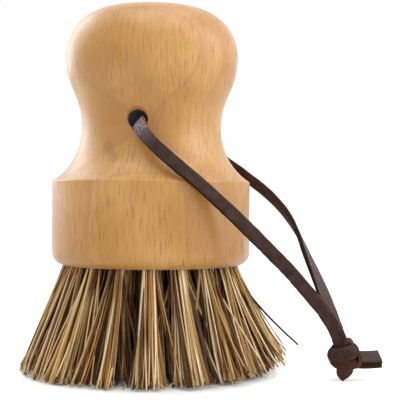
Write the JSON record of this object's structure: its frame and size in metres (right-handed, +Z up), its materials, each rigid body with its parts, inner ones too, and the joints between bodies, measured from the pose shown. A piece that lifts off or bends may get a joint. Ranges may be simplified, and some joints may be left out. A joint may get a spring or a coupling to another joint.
{
  "type": "palm brush",
  "caption": "Round palm brush: turned wooden knob handle over a block of splayed natural bristle tufts, with a knotted leather hanging lace through the waist.",
  "frame": {"origin": "on the brush's axis, in the plane of the trimmed bristle ends that it stands on", "axes": "+Z up along the turned handle's axis; the lace's cross hole runs along Y, and the lace loop lies out along +X with its front strand on the -Y side"},
  "size_m": [0.1018, 0.0754, 0.101],
  "materials": {
    "beech": "satin oiled beech",
    "union_bristle": "dry mixed plant fibre, dark brown to straw",
    "staple_wire": "plain drawn wire",
    "lace_leather": "waxed dark brown leather, raw tan edges"
  },
  "bodies": {
    "brush": {"handle": "beech", "tuft_block": "beech", "tuft_centre": "union_bristle", "tuft_inner_1": "union_bristle", "tuft_inner_2": "union_bristle", "tuft_inner_3": "union_bristle", "tuft_inner_4": "union_bristle", "tuft_inner_5": "union_bristle", "tuft_inner_6": "union_bristle", "tuft_middle_1": "union_bristle", "tuft_middle_2": "union_bristle", "tuft_middle_3": "union_bristle", "tuft_middle_4": "union_bristle", "tuft_middle_5": "union_bristle", "tuft_middle_6": "union_bristle", "tuft_middle_7": "union_bristle", "tuft_middle_8": "union_bristle", "tuft_middle_9": "union_bristle", "tuft_middle_10": "union_bristle", "tuft_middle_11": "union_bristle", "tuft_middle_12": "union_bristle", "tuft_outer_1": "union_bristle", "tuft_outer_2": "union_bristle", "tuft_outer_3": "union_bristle", "tuft_outer_4": "union_bristle", "tuft_outer_5": "union_bristle", "tuft_outer_6": "union_bristle", "tuft_outer_7": "union_bristle", "tuft_outer_8": "union_bristle", "tuft_outer_9": "union_bristle", "tuft_outer_10": "union_bristle", "tuft_outer_11": "union_bristle", "tuft_outer_12": "union_bristle", "tuft_outer_13": "union_bristle", "tuft_outer_14": "union_bristle", "tuft_outer_15": "union_bristle", "tuft_outer_16": "union_bristle", "tuft_outer_17": "union_bristle", "tuft_outer_18": "union_bristle", "staples": "staple_wire"},
    "lace_loop": {"lace_front": "lace_leather", "lace_back": "lace_leather", "lace_knot": "lace_leather", "lace_tail_upper": "lace_leather", "lace_tail_lower": "lace_leather"}
  },
  "joints": [
    {"name": "lace_swing", "type": "hinge", "parent": "brush", "child": "lace_loop", "pos_m": [0, 0, 0.0682], "axis": [0, -1, 0], "range_deg": [0, 45]}
  ]
}
